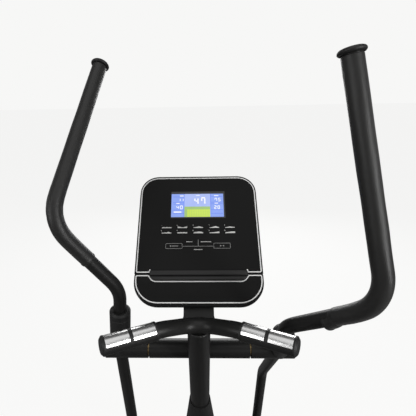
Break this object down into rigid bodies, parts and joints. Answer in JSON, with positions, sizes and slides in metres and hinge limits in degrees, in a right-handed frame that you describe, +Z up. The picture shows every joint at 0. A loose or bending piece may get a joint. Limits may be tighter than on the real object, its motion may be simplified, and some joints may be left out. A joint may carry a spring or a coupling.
{
  "type": "elliptical trainer",
  "caption": "Rear-drive elliptical trainer with swing arms, foot plates, crank and belt-driven flywheel, fixed pulse handlebar and tilted console.",
  "frame": {"origin": "on the floor under the middle of the machine at rest", "axes": "+X to the right of the user, +Y the way the user faces, +Z up"},
  "size_m": [0.6436, 1.3386, 1.6516],
  "materials": {
    "frame_steel": "satin black powder coat",
    "black_plastic": "fine moulded texture",
    "console_overlay": "satin printed overlay",
    "foot_plastic": "coarse moulded texture",
    "pulse_steel": "polished along the grip",
    "shaft_steel": "turned",
    "zinc_fastener": "zinc plated",
    "bush_bronze": "sintered bronze",
    "flywheel_iron": "machined rim",
    "grip_foam": "matt closed-cell foam",
    "rubber": "matt rubber",
    "belt_rubber": "ribbed belt",
    "display_glass": "backlit display",
    "board_green": "solder mask"
  },
  "bodies": {
    "frame": {"spine_beam": "frame_steel", "stabilizer_tubes": "frame_steel", "front_end_caps": "black_plastic", "rear_end_caps": "black_plastic", "frame_bolts": "zinc_fastener", "mast": "frame_steel", "post": "frame_steel", "post_cover_left": "black_plastic", "post_cover_right": "black_plastic", "cross_axle": "frame_steel", "arm_shaft": "shaft_steel", "hub_caps": "black_plastic", "handlebar": "frame_steel", "pulse_grips": "black_plastic", "pulse_plates": "pulse_steel", "neck_bracket": "frame_steel", "console_rear_shell": "black_plastic", "console_face": "console_overlay", "console_lower_panel": "console_overlay", "tablet_ledge": "black_plastic", "display_module": "display_glass", "circuit_board": "board_green", "drive_bracket": "frame_steel", "crank_bearings": "shaft_steel", "drive_belt": "belt_rubber", "flywheel_axle": "shaft_steel", "housing_left": "black_plastic", "housing_right": "black_plastic", "power_inlet": "black_plastic"},
    "transport_wheel_left": {"transport_wheel_left": "rubber"},
    "transport_wheel_right": {"transport_wheel_right": "rubber"},
    "levelling_foot_left": {"levelling_foot_left": "rubber"},
    "levelling_foot_right": {"levelling_foot_right": "rubber"},
    "crank": {"crank_axle": "shaft_steel", "crank_pulley": "black_plastic", "crank_left": "frame_steel", "crank_right": "frame_steel"},
    "left_pedal": {"pedal_bar_left": "frame_steel", "foot_plate_left": "foot_plastic"},
    "right_pedal": {"pedal_bar_right": "frame_steel", "foot_plate_right": "foot_plastic"},
    "left_arm": {"lower_arm_left": "frame_steel", "arm_bushes_left": "bush_bronze", "arm_sleeve_left": "black_plastic", "upper_arm_left": "frame_steel", "foam_grip_left": "grip_foam", "grip_cap_left": "black_plastic"},
    "right_arm": {"lower_arm_right": "frame_steel", "arm_bushes_right": "bush_bronze", "arm_sleeve_right": "black_plastic", "upper_arm_right": "frame_steel", "foam_grip_right": "grip_foam", "grip_cap_right": "black_plastic"},
    "flywheel": {"flywheel": "flywheel_iron"},
    "magnet_bracket": {"magnet_bracket": "zinc_fastener"},
    "key_start": {"key_start": "console_overlay"},
    "key_enter": {"key_enter": "console_overlay"},
    "key_mode": {"key_mode": "console_overlay"},
    "key_recovery": {"key_recovery": "console_overlay"},
    "key_reset": {"key_reset": "console_overlay"}
  },
  "joints": [
    {"name": "left_arm_swing", "type": "hinge", "parent": "frame", "child": "left_arm", "pos_m": [0, 0.34265, 0.91], "axis": [1, 0, 0], "range_deg": [0, 26.7]},
    {"name": "right_arm_swing", "type": "hinge", "parent": "frame", "child": "right_arm", "pos_m": [0, 0.34265, 0.91], "axis": [1, 0, 0], "range_deg": [-26.7, 0]},
    {"name": "crank_spin", "type": "hinge", "parent": "frame", "child": "crank", "pos_m": [0, -0.31435, 0.33], "axis": [1, 0, 0], "continuous": true},
    {"name": "left_pedal_level", "type": "hinge", "parent": "crank", "child": "left_pedal", "pos_m": [-0.17, -0.46035, 0.33], "axis": [1, 0, 0], "continuous": true},
    {"name": "right_pedal_level", "type": "hinge", "parent": "crank", "child": "right_pedal", "pos_m": [0.17, -0.16835, 0.33], "axis": [1, 0, 0], "continuous": true},
    {"name": "flywheel_spin", "type": "hinge", "parent": "frame", "child": "flywheel", "pos_m": [0, -0.51435, 0.29], "axis": [1, 0, 0], "continuous": true},
    {"name": "magnet_swing", "type": "hinge", "parent": "frame", "child": "magnet_bracket", "pos_m": [0, -0.53736, 0.42049], "axis": [1, 0, 0], "range_deg": [-3.5, 0]},
    {"name": "transport_left_spin", "type": "hinge", "parent": "frame", "child": "transport_wheel_left", "pos_m": [-0.249, 0.63935, 0.033], "axis": [1, 0, 0], "continuous": true},
    {"name": "transport_right_spin", "type": "hinge", "parent": "frame", "child": "transport_wheel_right", "pos_m": [0.249, 0.63935, 0.033], "axis": [1, 0, 0], "continuous": true},
    {"name": "levelling_left_turn", "type": "hinge", "parent": "frame", "child": "levelling_foot_left", "pos_m": [-0.227, -0.61435, 0.01], "axis": [0, 0, 1], "continuous": true},
    {"name": "levelling_right_turn", "type": "hinge", "parent": "frame", "child": "levelling_foot_right", "pos_m": [0.227, -0.61435, 0.01], "axis": [0, 0, 1], "continuous": true},
    {"name": "key_start_press", "type": "slide", "parent": "frame", "child": "key_start", "axis": [0, 0.7157, -0.6984], "range_m": [0, 0.0008], "stiffness_N_per_m": 800},
    {"name": "key_enter_press", "type": "slide", "parent": "frame", "child": "key_enter", "axis": [0, 0.7157, -0.6984], "range_m": [0, 0.0008], "stiffness_N_per_m": 800},
    {"name": "key_mode_press", "type": "slide", "parent": "frame", "child": "key_mode", "axis": [0, 0.7157, -0.6984], "range_m": [0, 0.0008], "stiffness_N_per_m": 800},
    {"name": "key_recovery_press", "type": "slide", "parent": "frame", "child": "key_recovery", "axis": [0, 0.7157, -0.6984], "range_m": [0, 0.0008], "stiffness_N_per_m": 800},
    {"name": "key_reset_press", "type": "slide", "parent": "frame", "child": "key_reset", "axis": [0, 0.7157, -0.6984], "range_m": [0, 0.0008], "stiffness_N_per_m": 800}
  ],
  "couplings": [
    {"joint": "right_arm_swing", "follows": "left_arm_swing", "ratio": -1},
    {"joint": "left_pedal_level", "follows": "crank_spin", "ratio": -1},
    {"joint": "right_pedal_level", "follows": "crank_spin", "ratio": -1},
    {"joint": "flywheel_spin", "follows": "crank_spin", "ratio": 8.4405}
  ]
}
